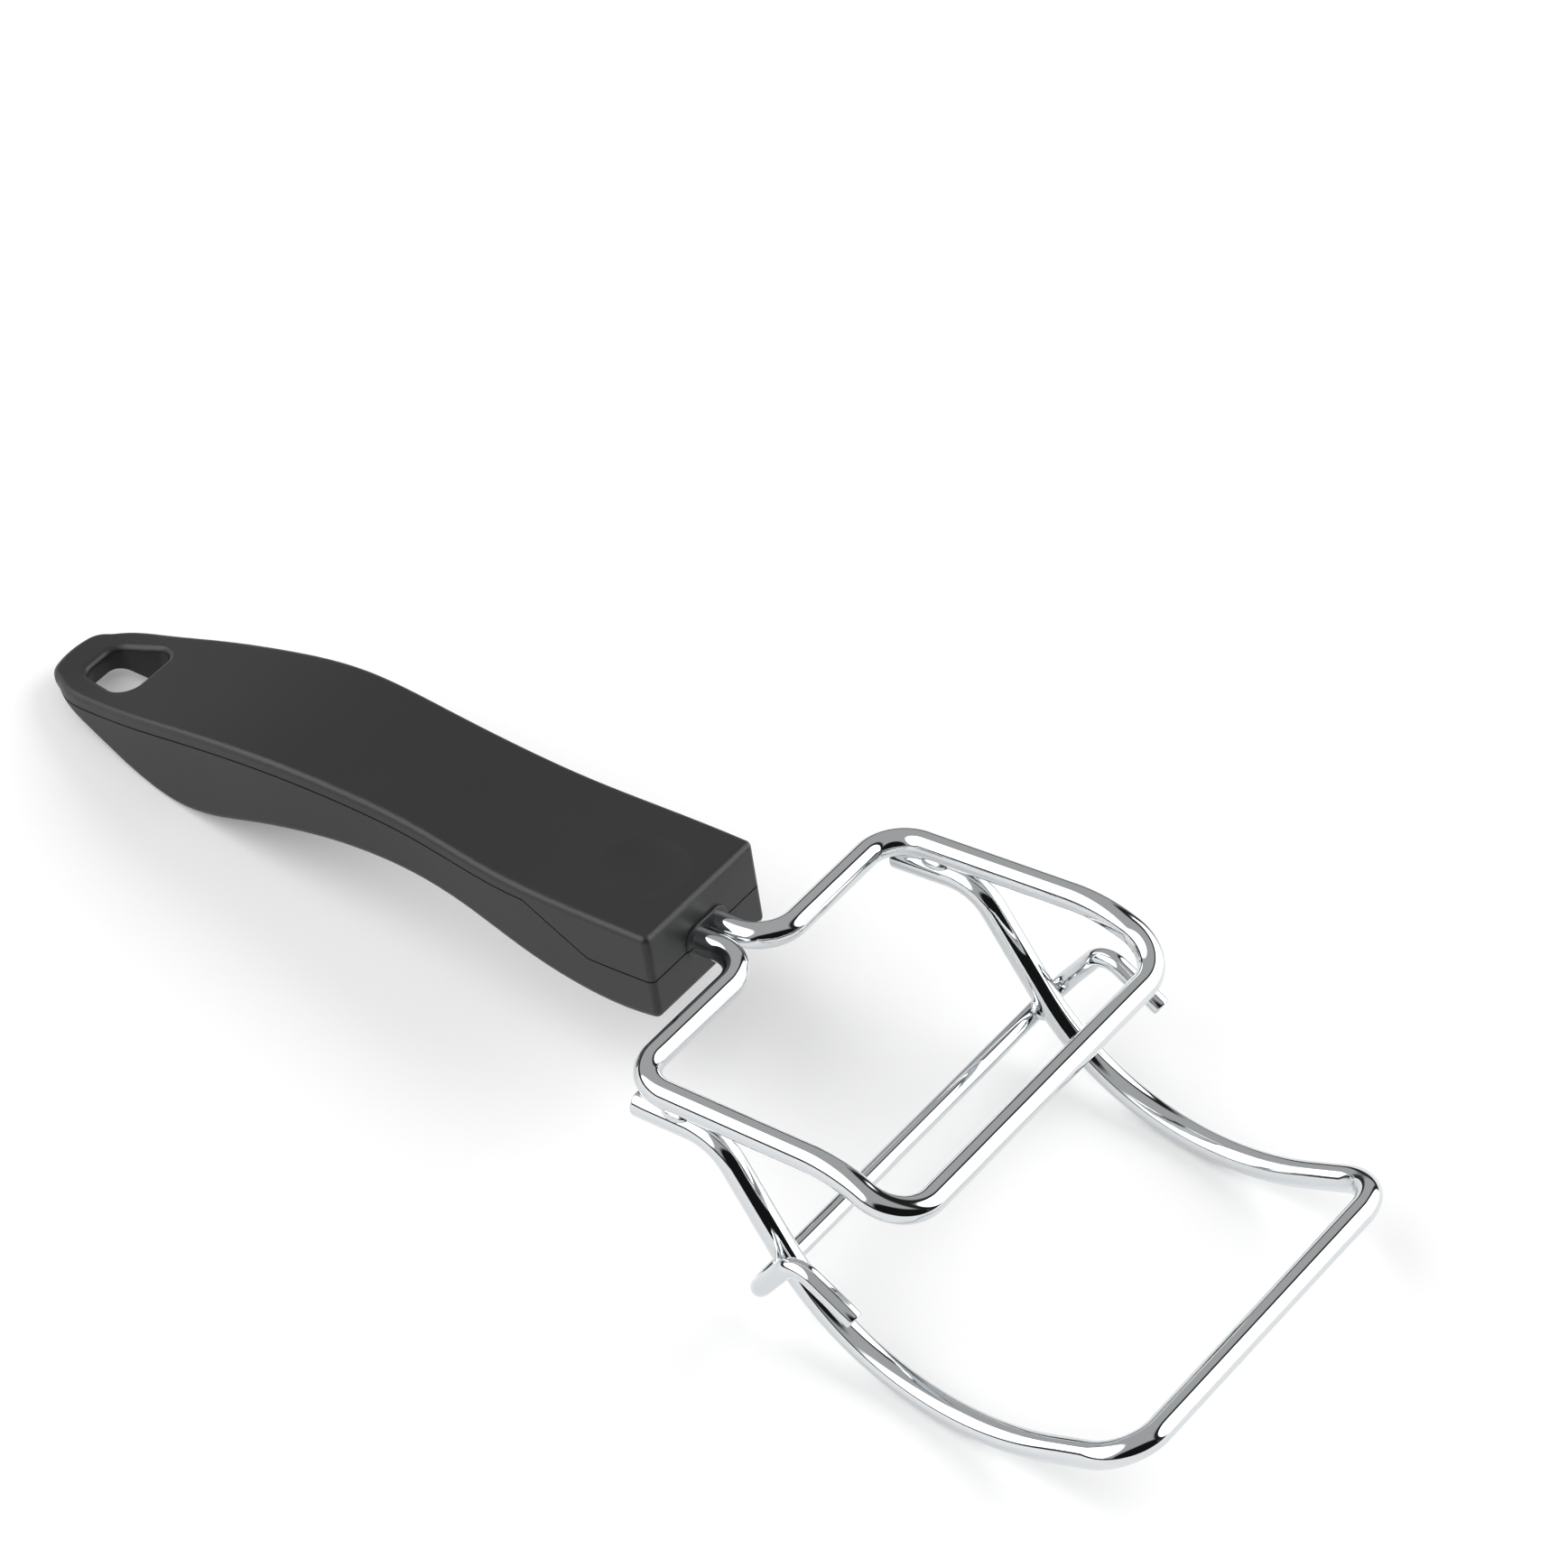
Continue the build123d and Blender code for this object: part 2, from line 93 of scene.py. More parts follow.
class WireStock(bpy.types.PropertyGroup):
    """Diameters of the wires and how they are welded and cut."""
    wire: length("Wire", "Diameter of the frame and bail wire", 5.0)
    bar_wire: length("Bar wire", "Diameter of the cross bar wire", 3.6)
    setdown: length("Set-down", "How far welded wires are pressed together", 0.4)
    cut_rounding: length("Cut rounding", "Rounding of a wire's cut end", 0.45)


class FrameSizes(bpy.types.PropertyGroup):
    """Centre line of the frame wire: necks, crosspiece, level sides and the front that bends down."""
    neck_gap: length("Neck gap", "Gap between the two necks", 0.3)
    neck_length: length("Neck length", "Handle face to the rear crosspiece", 12.7)
    half_width: length("Half width", "Centre line at the rear corners", 39.1)
    splay: angle("Splay", "Angle by which each side runs outward", 1.9)
    flat: length("Flat", "Level run of a side", 43.7)
    drop: length("Drop", "Sloping run to the front bar", 15.3)
    drop_angle: angle("Drop angle", "Slope of that run", 24.9)
    drop_share: share("Drop share", "Part of the sloping run that its rear bend takes", 0.83)
    neck_radius: length("Neck radius", "Bend from neck to crosspiece", 7.6)
    rear_radius: length("Rear radius", "Bend from crosspiece to side", 7.7)
    front_radius: length("Front radius", "Bend at the front corners", 8.4)
    anchor_depth: length("Anchor depth", "Reach of the wire's ends into the handle", 33.0)
    anchor_hook: length("Anchor hook", "Outward hook on each end", 8.0)
    hook_radius: length("Hook radius", "Bend of that hook", 4.0)


class BailSizes(bpy.types.PropertyGroup):
    """Centre line of the bail: straight laps, the run down, the sweep and the run up to its front bar."""
    start: length("Start", "Handle face to the bail's ends", 13.7)
    lap: length("Lap", "Straight lap of the bail under the frame", 17.3)
    descent: angle("Descent", "Slope of the run down", 58.0)
    rise: angle("Rise", "Slope of the run up to the front bar", 17.6)
    reach: length("Reach", "Upper bend to the front bar", 82.9)
    depth: length("Depth", "Lap down to the front bar", 34.2)
    half_width: length("Half width", "Centre line at the front bar", 41.0)
    bend_radius: length("Bend radius", "Upper bend", 10.0)
    sweep_share: share("Sweep share", "Part of the run up that the big sweep takes", 0.81)
    corner_radius: length("Corner radius", "Bend at the front corners", 8.7)


class BarSizes(bpy.types.PropertyGroup):
    """Centre line of the cross bar: a staple under the bail with a prong outside each side."""
    station: length("Station", "Bail's upper bend to the crossing", 14.0)
    overhang: length("Overhang", "Bail's centre line to the prong's", 7.8)
    leg: length("Leg", "Run up to the top of a prong", 15.2)
    leg_angle: angle("Leg angle", "Slope of the leg", 50.6)
    prong: length("Prong", "Run down to the prong's tip", 14.4)
    prong_slope: angle("Prong slope", "Slope of that run", 33.6)
    radius: length("Radius", "All bends of the bar", 4.5)


class WeldSizes(bpy.types.PropertyGroup):
    """Weld beads in the notches beside the laps, and round the crossings of bail and cross bar."""
    inset: length("Inset", "Bail's cut end to the middle of a lap bead", 9.1)
    half_length: length("Half length", "Half the length of a lap bead", 2.6)
    radius: length("Radius", "Half the thickness of a lap bead", 1.25)
    proud: length("Proud", "How far a lap bead stands past the wires' sides", 0.1)
    crossing_radius: length("Crossing radius", "Half the width of a crossing's bead", 2.5)
    crossing_height: length("Crossing height", "Half the height of a crossing's bead", 1.3)


class Finish(bpy.types.PropertyGroup):
    """Colours and surface of the object's materials."""
    plastic: colour("Handle colour", "Hex colour of the moulded shells", "1b1b1c")
    plastic_roughness: share("Handle roughness", "Sheen of the moulded shells", 0.42)
    chrome: colour("Chrome colour", "Hex colour of the plating", "d3d6d8")
    chrome_roughness: share("Chrome roughness", "Blur of the plating", 0.045)
    zinc: colour("Screw colour", "Hex colour of the zinc-plated screws", "b9bcc0")
    table: colour("Table colour", "Hex colour of the stage's floor", "ececec")


class Studio(bpy.types.PropertyGroup):
    """Camera and surroundings."""
    azimuth: angle("Azimuth", "Camera's turn round the tool", 28.356)
    elevation: angle("Elevation", "Camera's height as an angle", 45.362)
    roll: angle("Roll", "Camera's lean", 9.718)
    distance: length("Distance", "Camera to its aim", 1396.7)
    lens: bpy.props.FloatProperty(name="Lens", description="Focal length in millimetres", default=178.4)
    aim: bpy.props.FloatVectorProperty(name="Aim", description="Point the camera looks at",
                                       subtype="TRANSLATION", default=(-4.62 * MM, 45.46 * MM, 22.0 * MM))
    room: share("Room", "Brightness of the room's walls", 0.50)
    table_glow: share("Table glow", "Light that comes up through the table", 0.12)


# ---------------------------------------------------------------- frame of the tool
def tool_to_world():
    """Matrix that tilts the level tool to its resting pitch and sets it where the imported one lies."""
    turn = Matrix.Rotation(-PITCH, 4, "Y")
    place = Vector(HOLE["pos_m"]) - turn @ (Vector(HOLE_IN_TOOL) * MM)
    return Matrix.Translation(place) @ turn


TO_WORLD = tool_to_world()


def placed(points):
    """Points of the tool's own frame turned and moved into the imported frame, as one array product."""
    matrix = np.array(TO_WORLD)
    return points @ matrix[:3, :3].T + matrix[:3, 3]


# ---------------------------------------------------------------- mesh makers
def unit(vectors):
    """Each row divided by its length."""
    return vectors / np.linalg.norm(vectors, axis=-1, keepdims=True)


def rounded_run(corners, radii):
    """Straight runs joined by arcs: at each corner the arc touches both runs at a distance of the radius
    times the tangent of half the turn, and is sampled at even angles; straight runs are sampled evenly."""
    corners = [np.array(corner, float) for corner in corners]
    pieces = []
    start = corners[0]
    for before, corner, after, radius in zip(corners, corners[1:], corners[2:], radii):
        come = unit(corner - before)
        go = unit(after - corner)
        turn = math.acos(np.clip(come @ go, -1, 1))
        tangent = radius * math.tan(turn / 2)
        enter = corner - come * tangent
        count = max(2, int(np.linalg.norm(enter - start) / RUN_STEP))
        pieces.append(start + (enter - start) * np.linspace(0, 1, count, endpoint=False)[:, None])
        inward = unit(go - come)
        centre = corner + inward * radius / math.cos(turn / 2)
        swing = np.linspace(0, turn, max(3, int(turn / TURN_STEP) + 1), endpoint=False)[:, None]
        out = unit(enter - centre)
        pieces.append(centre + radius * (out * np.cos(swing) + come * np.sin(swing)))
        start = corner + go * tangent
    count = max(2, int(np.linalg.norm(corners[-1] - start) / RUN_STEP))
    pieces.append(start + (corners[-1] - start) * np.linspace(0, 1, count)[:, None])
    return np.concatenate(pieces)


def mirrored_run(half):
    """A list of corners from the middle outward, with its mirror image across the XZ plane before it."""
    return [(x, -y, z) for x, y, z in reversed(half)] + half


def grid_faces(rows, columns):
    """Quads between neighbouring rows of a grid whose columns close on themselves."""
    row, column = np.meshgrid(np.arange(rows - 1), np.arange(columns), indexing="ij")
    across = (column + 1) % columns
    quads = [row * columns + column, row * columns + across,
             (row + 1) * columns + across, (row + 1) * columns + column]
    return np.stack(quads, axis=-1).reshape(-1, 4)


def closed_rings(grid):
    """Points and faces of a surface of rings, with a fan to a middle point at each end."""
    rows, columns = grid.shape[:2]
    points = np.concatenate([grid.reshape(-1, 3), grid[:1].mean(axis=1), grid[-1:].mean(axis=1)])
    first, last = rows * columns, rows * columns + 1
    ring = np.arange(columns)
    beside = (ring + 1) % columns
    start_fan = np.stack([np.full(columns, first), beside, ring], axis=-1)
    end_ring = (rows - 1) * columns
    end_fan = np.stack([np.full(columns, last), end_ring + ring, end_ring + beside], axis=-1)
    return points, grid_faces(rows, columns).tolist() + start_fan.tolist() + end_fan.tolist()


def closed_grids(name, grids):
    """Mesh object of one or more closed surfaces of rings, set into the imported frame."""
    points, faces = [], []
    for grid in grids:
        base = sum(len(part) for part in points)
        more, its_faces = closed_rings(placed(grid))
        points.append(more)
        faces += [[base + corner for corner in face] for face in its_faces]
    mesh = bpy.data.meshes.new(name)
    mesh.from_pydata(np.concatenate(points).tolist(), [], faces)
    mesh.polygons.foreach_set("use_smooth", np.ones(len(faces), bool))
    made = bpy.data.objects.new(name, mesh)
    bpy.context.scene.collection.objects.link(made)
    return made


def drawn_wire(name, centres, diameter, rounding, ring=48, end_steps=6):
    """Round bar along a path: each ring is the path's point plus the radius times the cosine and sine of an
    even angle along two directions square to the path. Near both ends the radius follows a quarter ellipse,
    which rounds the cut."""
    from_start = np.concatenate([[0], np.cumsum(np.linalg.norm(np.diff(centres, axis=0), axis=1))])
    whole = from_start[-1]
    near_end = rounding * (1 - np.cos(np.linspace(0, math.pi / 2, end_steps)))
    margin = rounding * CLEAR_OF_CUT
    body = from_start[(from_start > margin) & (from_start < whole - margin)]
    stations = np.concatenate([near_end, body, whole - near_end[::-1]])
    path = np.stack([np.interp(stations, from_start, centres[:, axis]) for axis in range(3)], axis=-1)
    along = unit(np.gradient(path, stations, axis=0))
    side = unit(np.cross(along, (0, 0, 1)))
    lift = np.cross(side, along)
    from_end = np.minimum(stations, whole - stations)
    dip = np.clip(1 - from_end / rounding, 0, 1)
    radius = diameter / 2 - rounding * (1 - np.sqrt(1 - dip ** 2))
    turn = np.linspace(0, 2 * math.pi, ring, endpoint=False)[None, :, None]
    around = side[:, None] * np.cos(turn) + lift[:, None] * np.sin(turn)
    return closed_grids(name, [path[:, None] + around * radius[:, None, None]])


def ellipsoid(centre, along, across, half_length, half_width, half_height, rings=24, ring=32):
    """Surface of a weld bead: the centre plus the half length times the cosine of a polar angle along it,
    and the half width and height times its sine and the cosine and sine of an even angle round it."""
    along, across = unit(np.array(along, float)), unit(np.array(across, float))
    polar = np.linspace(math.pi, 0, rings + 2)[1:-1, None, None]
    turn = np.linspace(0, 2 * math.pi, ring, endpoint=False)[None, :, None]
    height = np.cross(across, along)
    side = half_width * across * np.cos(turn) + half_height * height * np.sin(turn)
    return np.array(centre, float) + half_length * along * np.cos(polar) + side * np.sin(polar)


# ---------------------------------------------------------------- materials
def linear(code):
    """Linear colour of a six-digit sRGB hex code."""
    values = [int(code[i:i + 2], 16) / 255 for i in (0, 2, 4)]
    return [v / 12.92 if v <= 0.04045 else ((v + 0.055) / 1.055) ** 2.4 for v in values] + [1.0]


def add_node(tree, kind, links=None, **settings):
    """Adds a node, sets its properties and inputs by name, and links the inputs named in links."""
    node = tree.nodes.new(kind)
    for key, value in settings.items():
        if hasattr(node, key):
            setattr(node, key, value)
        else:
            node.inputs[key.replace("_", " ")].default_value = value
    for socket, source in (links or {}).items():
        tree.links.new(source, node.inputs[socket])
    return node


def new_material(name, **shader_values):
    """Material with a Principled shader whose constant values are set, its tree, shader and coordinates."""
    material = bpy.data.materials.new(name)
    material.use_nodes = True
    tree = material.node_tree
    tree.nodes.clear()
    shader = add_node(tree, "ShaderNodeBsdfPrincipled", **shader_values)
    add_node(tree, "ShaderNodeOutputMaterial", {"Surface": shader.outputs[0]})
    place = add_node(tree, "ShaderNodeTexCoord").outputs["Object"]
    return material, tree, shader, place


def uneven_sheen(tree, shader, pattern, low, high):
    """Lets a noise's middle range carry the roughness from a low to a high value."""
    sheen = add_node(tree, "ShaderNodeMapRange", {"Value": pattern.outputs["Fac"]}, From_Min=NOISE_LOW,
                     From_Max=NOISE_HIGH, To_Min=low, To_Max=high)
    tree.links.new(sheen.outputs[0], shader.inputs["Roughness"])


def raised_by(tree, shader, pattern, strength, depth):
    """Lets a noise raise and sink the surface by a depth in metres."""
    bump = add_node(tree, "ShaderNodeBump", {"Height": pattern.outputs["Fac"]}, Strength=strength,
                    Distance=depth)
    tree.links.new(bump.outputs[0], shader.inputs["Normal"])


def clouded_colour(tree, shader, pattern, code, change):
    """Lets a noise carry the colour from a hex code's to the same multiplied by a change."""
    tint = add_node(tree, "ShaderNodeMix", {"Factor": pattern.outputs["Fac"]}, data_type="RGBA")
    tint.inputs["A"].default_value = linear(code)
    tint.inputs["B"].default_value = [value * change for value in linear(code)[:3]] + [1.0]
    tree.links.new(tint.outputs["Result"], shader.inputs["Base Color"])


NOISE_LOW, NOISE_HIGH = 0.3, 0.7        # between which most of a noise's values lie
POLYPROPYLENE_IOR = 1.49
SHEEN_SPREAD = 0.03
CLOUD = 18 * MM             # patches of the moulding that cooled at different rates
CLOUD_TINT = 1.12
PEBBLE = 0.35 * MM          # spark-eroded pebble, drawn coarser than the real one so that it shows
PEBBLE_DEPTH = 0.02 * MM
HAZE = 6 * MM               # hazier patches of the plating
RIPPLE = 4 * MM             # ripple of the drawn wire under the plating
RIPPLE_DEPTH = 0.03 * MM
LUMP = 0.9 * MM             # lumps of a weld bead
LUMP_DEPTH = 0.12 * MM
CRYSTAL = 0.8 * MM          # clouds of zinc crystals, drawn coarser than the real ones so that they show
CRYSTAL_TINT = 0.8
ZINC_ROUGHNESS = (0.25, 0.4)


def moulded_polypropylene(finish):
    """Black polypropylene moulded against a spark-eroded tool: satin, with a very fine pebble and a slightly
    uneven sheen where the melt cooled at different rates."""
    material, tree, shader, place = new_material("moulded_polypropylene", IOR=POLYPROPYLENE_IOR)
    cloud = add_node(tree, "ShaderNodeTexNoise", {"Vector": place}, Scale=1 / CLOUD, Detail=3.0)
    clouded_colour(tree, shader, cloud, finish.plastic, CLOUD_TINT)
    sheen = finish.plastic_roughness
    uneven_sheen(tree, shader, cloud, sheen - SHEEN_SPREAD, sheen + SHEEN_SPREAD)
    pebble = add_node(tree, "ShaderNodeTexNoise", {"Vector": place}, Scale=1 / PEBBLE, Detail=2.0)
    raised_by(tree, shader, pebble, 0.25, PEBBLE_DEPTH)
    return material


def bright_chrome(finish):
    """Decorative chrome over nickel on drawn steel wire: mirror bright, with a faint ripple from the wire
    under the plating and a slightly hazier skin here and there."""
    material, tree, shader, place = new_material("bright_chrome", Metallic=1.0,
                                                 Base_Color=linear(finish.chrome))
    haze = add_node(tree, "ShaderNodeTexNoise", {"Vector": place}, Scale=1 / HAZE, Detail=3.0)
    uneven_sheen(tree, shader, haze, finish.chrome_roughness * 0.6, finish.chrome_roughness * 1.5)
    ripple = add_node(tree, "ShaderNodeTexNoise", {"Vector": place}, Scale=1 / RIPPLE, Detail=2.0)
    raised_by(tree, shader, ripple, 0.3, RIPPLE_DEPTH)
    return material


def plated_weld(finish):
    """Chrome over a squeezed-out weld bead: the same plating, hazier and lumpy from the melt under it."""
    material, tree, shader, place = new_material("plated_weld", Metallic=1.0,
                                                 Base_Color=linear(finish.chrome))
    lumps = add_node(tree, "ShaderNodeTexNoise", {"Vector": place}, Scale=1 / LUMP, Detail=2.0)
    uneven_sheen(tree, shader, lumps, finish.chrome_roughness * 2, finish.chrome_roughness * 5)
    raised_by(tree, shader, lumps, 0.5, LUMP_DEPTH)
    return material


def zinc_plated_steel(finish):
    """Bright zinc on a cold-formed steel screw: a cool grey, satin skin with cloudy crystals in it."""
    material, tree, shader, place = new_material("zinc_plated_steel", Metallic=1.0)
    crystals = add_node(tree, "ShaderNodeTexNoise", {"Vector": place}, Scale=1 / CRYSTAL, Detail=3.0)
    clouded_colour(tree, shader, crystals, finish.zinc, CRYSTAL_TINT)
    uneven_sheen(tree, shader, crystals, *ZINC_ROUGHNESS)
    return material


# ---------------------------------------------------------------- paths of the wires
def sharing_radius(run, taken, turn, part):
    """Radius of a bend whose tangent is a part of what a run has left beside its other bend."""
    return part * (run - taken) / math.tan(turn / 2)


def frame_side(frame_sizes, x):
    """Half-width of the frame at a distance in front of the handle's face."""
    return frame_sizes.half_width + (x - frame_sizes.neck_length) * math.tan(frame_sizes.splay)


def frame_path(stock, sizes):
    """Frame's centre line, from one hooked end round the loop to the other."""
    bend = sizes.neck_length + sizes.flat
    front = bend + sizes.drop * math.cos(sizes.drop_angle)
    neck = (stock.wire + sizes.neck_gap) / 2
    half = [(front, frame_side(sizes, front), -sizes.drop * math.sin(sizes.drop_angle)),
            (bend, frame_side(sizes, bend), 0),
            (sizes.neck_length, sizes.half_width, 0),
            (sizes.neck_length, neck, 0),
            (-sizes.anchor_depth, neck, 0),
            (-sizes.anchor_depth, neck + sizes.anchor_hook, 0)]
    drop_radius = sharing_radius(sizes.drop, sizes.front_radius, sizes.drop_angle, sizes.drop_share)
    bends = [sizes.front_radius, drop_radius, sizes.rear_radius, sizes.neck_radius, sizes.hook_radius]
    return rounded_run(mirrored_run(half), bends[::-1] + bends)


def bail_path(stock, frame_sizes, sizes):
    """Bail's centre line, from one end under the frame round the loop to the other."""
    level = stock.setdown - stock.wire
    bend = sizes.start + sizes.lap
    down, up = math.tan(sizes.descent), math.tan(sizes.rise)
    ahead = (sizes.depth + sizes.reach * up) / (down + up)
    at_bend = frame_side(frame_sizes, bend)
    at_corner = at_bend + (sizes.half_width - at_bend) * ahead / sizes.reach
    half = [(bend + sizes.reach, sizes.half_width, level - sizes.depth),
            (bend + ahead, at_corner, level - ahead * down),
            (bend, at_bend, level),
            (sizes.start, frame_side(frame_sizes, sizes.start), level)]
    last_run = (sizes.reach - ahead) / math.cos(sizes.rise)
    sweep = sharing_radius(last_run, sizes.corner_radius, sizes.descent + sizes.rise, sizes.sweep_share)
    bends = [sizes.corner_radius, sweep, sizes.bend_radius]
    return rounded_run(mirrored_run(half), bends[::-1] + bends)


def crossing(bail, x):
    """Point of the bail's left side at a distance ahead, and the direction down and square to it."""
    half = bail[len(bail) // 2:][::-1]
    slope = np.gradient(half, axis=0)
    y, z, run_x, run_z = [np.interp(x, half[:, 0], values)
                          for values in (half[:, 1], half[:, 2], slope[:, 0], slope[:, 2])]
    return Vector((x, y, z)), Vector((run_z, 0, -run_x)).normalized()


def bar_path(stock, bail, bail_bend, sizes):
    """Cross bar's centre line: it lies against the underside of the bail, and its ends turn up and over."""
    point, down = crossing(bail, bail_bend + sizes.station)
    foot = point + down * ((stock.wire + stock.bar_wire) / 2 - stock.setdown)
    out = point.y + sizes.overhang
    top_x = foot.x + sizes.leg * math.cos(sizes.leg_angle)
    top_z = foot.z + sizes.leg * math.sin(sizes.leg_angle)
    tip_x = top_x + sizes.prong * math.cos(sizes.prong_slope)
    tip_z = top_z - sizes.prong * math.sin(sizes.prong_slope)
    corners = [(foot.x, out, foot.z), (top_x, out, top_z), (tip_x, out, tip_z)]
    return rounded_run(mirrored_run(corners), [sizes.radius] * 4)


def lap_beads(sizes):
    """Beads in the notches on both sides of each lap of bail and frame."""
    stock, weld = sizes.stock, sizes.weld
    x = sizes.bail.start + weld.inset
    level = (stock.setdown - stock.wire) / 2
    outward = stock.wire / 2 + weld.proud - weld.radius
    beads = []
    for side in (-1, 1):
        for face in (-1, 1):
            centre = (x, side * frame_side(sizes.frame, x) + face * outward, level)
            run = (math.cos(sizes.frame.splay), side * math.sin(sizes.frame.splay), 0)
            beads.append(ellipsoid(centre, run, (0, 0, 1), weld.half_length, weld.radius, weld.radius))
    return beads


def crossing_beads(sizes):
    """Squeezed-out rings round both crossings of bail and bar."""
    stock, weld = sizes.stock, sizes.weld
    bail = bail_path(stock, sizes.frame, sizes.bail)
    point, down = crossing(bail, sizes.bail.start + sizes.bail.lap + sizes.bar.station)
    contact = point + down * ((stock.wire - stock.setdown) / 2)
    return [ellipsoid((contact.x, side * contact.y, contact.z), down, (0, 1, 0),
                      weld.crossing_height, weld.crossing_radius, weld.crossing_radius) for side in (-1, 1)]


# ---------------------------------------------------------------- operators
def settings():
    """Everything that a user may change, as the scene holds it."""
    return bpy.context.scene.jar_lifter


def named_material(maker):
    """The material of that maker's name, made on first use."""
    return bpy.data.materials.get(maker.__name__) or maker(settings().finish)


def finish_piece(made, node, maker):
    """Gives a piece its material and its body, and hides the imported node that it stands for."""
    made.data.materials.append(named_material(maker))
    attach(made, "root")
    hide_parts(node)


def finish_node(name, maker):
    """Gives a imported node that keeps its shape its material."""
    slots = frame["nodes"][name].material_slots
    if not slots:
        raise RuntimeError(f"{name} has no material slot")
    for place in slots:
        place.material = named_material(maker)


class BuildFrameWire(bpy.types.Operator):
    """Upper wire: two hooked ends inside the handle, the necks, and the flat loop that bends down in front"""
    bl_idname = "lifter.frame_wire"
    bl_label = "Frame wire"

    def execute(self, context):
        sizes = settings()
        path = frame_path(sizes.stock, sizes.frame)
        made = drawn_wire("frame_wire_chromed", path, sizes.stock.wire, sizes.stock.cut_rounding)
        finish_piece(made, "frame_wire", bright_chrome)
        return {"FINISHED"}


class BuildBailWire(bpy.types.Operator):
    """Lower wire: laps welded under the frame's sides, and the loop that closes round a jar's neck"""
    bl_idname = "lifter.bail_wire"
    bl_label = "Bail wire"

    def execute(self, context):
        sizes = settings()
        path = bail_path(sizes.stock, sizes.frame, sizes.bail)
        made = drawn_wire("bail_wire_chromed", path, sizes.stock.wire, sizes.stock.cut_rounding)
        finish_piece(made, "bail_wire", bright_chrome)
        return {"FINISHED"}


class BuildCrossBar(bpy.types.Operator):
    """Thinner bar under the bail, with a prong outside each side"""
    bl_idname = "lifter.cross_bar"
    bl_label = "Cross bar"

    def execute(self, context):
        sizes = settings()
        bail = bail_path(sizes.stock, sizes.frame, sizes.bail)
        path = bar_path(sizes.stock, bail, sizes.bail.start + sizes.bail.lap, sizes.bar)
        made = drawn_wire("cross_bar_chromed", path, sizes.stock.bar_wire, sizes.stock.cut_rounding)
        finish_piece(made, "cross_bar", bright_chrome)
        return {"FINISHED"}


class BuildWelds(bpy.types.Operator):
    """Plated weld beads where bail and frame, and bail and cross bar, meet"""
    bl_idname = "lifter.welds"
    bl_label = "Weld beads"

    def execute(self, context):
        sizes = settings()
        laps = closed_grids("bail_weld_beads_plated", lap_beads(sizes))
        finish_piece(laps, "bail_weld_beads", plated_weld)
        crossings = closed_grids("bar_weld_beads_plated", crossing_beads(sizes))
        finish_piece(crossings, "bar_weld_beads", plated_weld)
        return {"FINISHED"}


class FinishHandle(bpy.types.Operator):
    """Moulded surface of the handle's two shells"""
    bl_idname = "lifter.handle"
    bl_label = "Handle shells"

    def execute(self, context):
        for name in ("handle_top_shell", "handle_bottom_shell"):
            finish_node(name, moulded_polypropylene)
        return {"FINISHED"}


class FinishScrews(bpy.types.Operator):
    """Zinc-plated screws under the handle"""
    bl_idname = "lifter.screws"
    bl_label = "Handle screws"

    def execute(self, context):
        finish_node("handle_screws", zinc_plated_steel)
        return {"FINISHED"}


# ---------------------------------------------------------------- stage
WHITE = (1.0, 1.0, 1.0, 1.0)
# azimuth from +X towards +Y, elevation, angular radius and softness in degrees, and brightness
LEFT_BOX = (-135, 24, 42, 4, 3.0)
RIGHT_BOX_RIM = (55, 24, 44, 3, 0.02)
RIGHT_BOX = (55, 24, 34, 2, 3.0)
DARK_CORNER = (-32, 12, 42, 4, 0.01)
HORIZON = 8.0       # height of the dark line along the foot of the room's walls, in degrees
HORIZON_SOFTNESS = 2.0
HORIZON_GREY = 0.04


def direction_of(azimuth, elevation):
    """Unit vector at an azimuth from +X towards +Y and a height as an angle, both in radians."""
    return Vector((math.cos(azimuth) * math.cos(elevation), math.sin(azimuth) * math.cos(elevation),
                   math.sin(elevation)))


def changed_to(tree, level, factor, brightness):
    """Light level that changes to a brightness where the factor is one."""
    mix = add_node(tree, "ShaderNodeMix", {"Factor": factor, "A": level}, data_type="FLOAT")
    mix.inputs["B"].default_value = brightness
    return mix.outputs["Result"]


def with_patch(tree, level, direction, patch):
    """Light level with a round patch: it changes where a direction lies within the angular radius."""
    azimuth, elevation, size, softness = [math.radians(value) for value in patch[:4]]
    near = add_node(tree, "ShaderNodeVectorMath", {0: direction}, operation="DOT_PRODUCT")
    near.inputs[1].default_value = direction_of(azimuth, elevation)
    inside = add_node(tree, "ShaderNodeMapRange", {"Value": near.outputs["Value"]},
                      interpolation_type="SMOOTHSTEP",
                      From_Min=math.cos(size + softness), From_Max=math.cos(size - softness))
    return changed_to(tree, level, inside.outputs[0], patch[4])


def with_horizon(tree, level, direction):
    """Light level with a dark band from the horizon down and a little up."""
    parts = add_node(tree, "ShaderNodeSeparateXYZ", {0: direction})
    low = add_node(tree, "ShaderNodeMapRange", {"Value": parts.outputs["Z"]},
                   interpolation_type="SMOOTHSTEP",
                   From_Min=math.sin(math.radians(HORIZON + HORIZON_SOFTNESS)),
                   From_Max=math.sin(math.radians(HORIZON - HORIZON_SOFTNESS)))
    return changed_to(tree, level, low.outputs[0], HORIZON_GREY)


